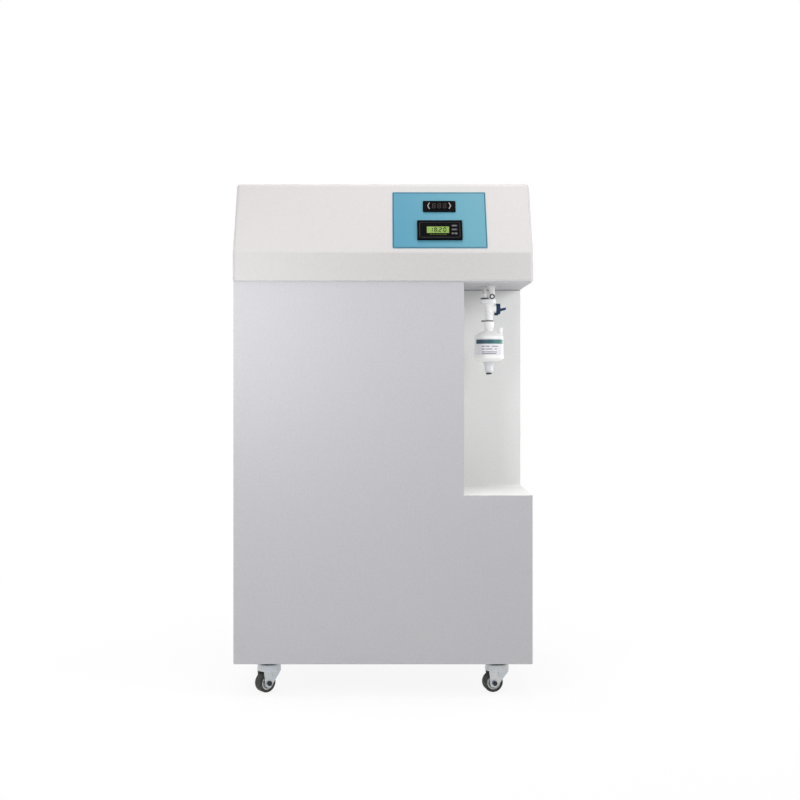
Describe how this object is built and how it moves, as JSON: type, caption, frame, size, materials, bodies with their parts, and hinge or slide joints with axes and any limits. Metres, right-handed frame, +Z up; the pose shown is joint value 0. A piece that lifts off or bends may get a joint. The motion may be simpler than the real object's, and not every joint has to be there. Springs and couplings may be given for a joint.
{
  "type": "laboratory water purifier",
  "caption": "Floor-standing water purifier: sheet-metal cabinet on swivel castors, sloped hood with panel meters, and an open corner bay with a ball valve and filter capsule.",
  "frame": {"origin": "on the floor under the middle of the bounding box", "axes": "+X to the viewer's right, -Y to the front with the sloped face, +Z up"},
  "size_m": [0.634, 0.544, 1.094],
  "materials": {
    "panel_grey": "satin",
    "liner_white": "satin",
    "hood_white": "satin",
    "zinc_sheet": "satin",
    "fastener_steel": "satin",
    "label_blue": "satin",
    "black_plastic": "matte",
    "smoked_lens": "gloss",
    "lcd_green": "gloss",
    "key_grey": "matte",
    "clear_tube": "gloss",
    "white_plastic": "satin",
    "fitting_grey": "satin",
    "capsule_white": "satin",
    "nozzle_grey": "satin",
    "dark_rubber": "matte",
    "dark_clip": "matte",
    "valve_blue": "gloss",
    "ball_steel": "polished",
    "castor_zinc": "satin",
    "wheel_grey": "matte",
    "tyre_rubber": "matte",
    "pump_aluminium": "satin",
    "motor_black": "satin",
    "board_green": "satin"
  },
  "bodies": {
    "cabinet": {"base_tray": "zinc_sheet", "bay_liner": "liner_white", "capsule_shell": "capsule_white", "castor_bolts": "fastener_steel", "castor_plates": "castor_zinc", "control_board": "board_green", "di_cartridges": "capsule_white", "equipment_shelf": "zinc_sheet", "fascia_label": "label_blue", "front_panel": "panel_grey", "hood": "hood_white", "inner_tubing": "white_plastic", "left_side_panel": "panel_grey", "lock_clips": "dark_clip", "loop_tubes": "clear_tube", "lower_meter_case": "black_plastic", "lower_meter_display": "lcd_green", "outlet_manifold": "white_plastic", "outlet_nozzle": "nozzle_grey", "panel_screws": "fastener_steel", "port_fittings": "fitting_grey", "power_inlet": "black_plastic", "power_supply": "pump_aluminium", "prefilter_cartridges": "capsule_white", "prefilter_heads": "white_plastic", "pump_feet": "dark_rubber", "pump_head": "pump_aluminium", "pump_motor": "motor_black", "rear_panel": "panel_grey", "right_side_panel": "panel_grey", "ro_housing": "capsule_white", "seal_rings": "dark_rubber", "solenoid_valve": "black_plastic", "top_deck": "panel_grey", "upper_meter_case": "black_plastic", "upper_meter_window": "smoked_lens", "valve_body": "white_plastic"},
    "valve_handle": {"valve_handle": "valve_blue", "valve_ball": "ball_steel"},
    "vent_cap": {"vent_cap": "white_plastic"},
    "power_rocker": {"power_rocker": "black_plastic"},
    "meter_key_1": {"meter_key_1": "key_grey"},
    "meter_key_2": {"meter_key_2": "key_grey"},
    "meter_key_3": {"meter_key_3": "key_grey"},
    "fork_front_left": {"castor_fork_front_left": "castor_zinc", "castor_axle_front_left": "fastener_steel"},
    "wheel_front_left": {"castor_wheel_front_left": "wheel_grey", "castor_tyre_front_left": "tyre_rubber"},
    "fork_front_right": {"castor_fork_front_right": "castor_zinc", "castor_axle_front_right": "fastener_steel"},
    "wheel_front_right": {"castor_wheel_front_right": "wheel_grey", "castor_tyre_front_right": "tyre_rubber"},
    "fork_rear_left": {"castor_fork_rear_left": "castor_zinc", "castor_axle_rear_left": "fastener_steel"},
    "wheel_rear_left": {"castor_wheel_rear_left": "wheel_grey", "castor_tyre_rear_left": "tyre_rubber"},
    "fork_rear_right": {"castor_fork_rear_right": "castor_zinc", "castor_axle_rear_right": "fastener_steel"},
    "wheel_rear_right": {"castor_wheel_rear_right": "wheel_grey", "castor_tyre_rear_right": "tyre_rubber"}
  },
  "joints": [
    {"name": "valve_turn", "type": "hinge", "parent": "cabinet", "child": "valve_handle", "pos_m": [0.233, -0.165, 0.825], "axis": [1, 0, 0], "range_deg": [0, 90]},
    {"name": "vent_turn", "type": "hinge", "parent": "cabinet", "child": "vent_cap", "pos_m": [0.2585, -0.165, 0.7735], "axis": [0, 0, 1], "range_deg": [0, 180]},
    {"name": "power_rock", "type": "hinge", "parent": "cabinet", "child": "power_rocker", "pos_m": [0.125, 0.251, 0.197], "axis": [1, 0, 0], "range_deg": [0, 24]},
    {"name": "key_press_1", "type": "slide", "parent": "cabinet", "child": "meter_key_1", "axis": [0, 0.9063, -0.4226], "range_m": [0, 0.001], "stiffness_N_per_m": 400},
    {"name": "key_press_2", "type": "slide", "parent": "cabinet", "child": "meter_key_2", "axis": [0, 0.9063, -0.4226], "range_m": [0, 0.001], "stiffness_N_per_m": 400},
    {"name": "key_press_3", "type": "slide", "parent": "cabinet", "child": "meter_key_3", "axis": [0, 0.9063, -0.4226], "range_m": [0, 0.001], "stiffness_N_per_m": 400},
    {"name": "swivel_front_left", "type": "hinge", "parent": "cabinet", "child": "fork_front_left", "pos_m": [-0.245, -0.218, 0.0515], "axis": [0, 0, 1], "continuous": true},
    {"name": "roll_front_left", "type": "hinge", "parent": "fork_front_left", "child": "wheel_front_left", "pos_m": [-0.25266, -0.22443, 0.021], "axis": [-0.6428, 0.766, 0], "continuous": true},
    {"name": "swivel_front_right", "type": "hinge", "parent": "cabinet", "child": "fork_front_right", "pos_m": [0.245, -0.218, 0.0515], "axis": [0, 0, 1], "continuous": true},
    {"name": "roll_front_right", "type": "hinge", "parent": "fork_front_right", "child": "wheel_front_right", "pos_m": [0.23526, -0.22025, 0.021], "axis": [-0.225, 0.9744, 0], "continuous": true},
    {"name": "swivel_rear_left", "type": "hinge", "parent": "cabinet", "child": "fork_rear_left", "pos_m": [-0.245, 0.198, 0.0515], "axis": [0, 0, 1], "continuous": true},
    {"name": "roll_rear_left", "type": "hinge", "parent": "fork_rear_left", "child": "wheel_rear_left", "pos_m": [-0.25406, 0.19377, 0.021], "axis": [-0.4226, 0.9063, 0], "continuous": true},
    {"name": "swivel_rear_right", "type": "hinge", "parent": "cabinet", "child": "fork_rear_right", "pos_m": [0.245, 0.198, 0.0515], "axis": [0, 0, 1], "continuous": true},
    {"name": "roll_rear_right", "type": "hinge", "parent": "fork_rear_right", "child": "wheel_rear_right", "pos_m": [0.23634, 0.203, 0.021], "axis": [0.5, 0.866, 0], "continuous": true}
  ]
}
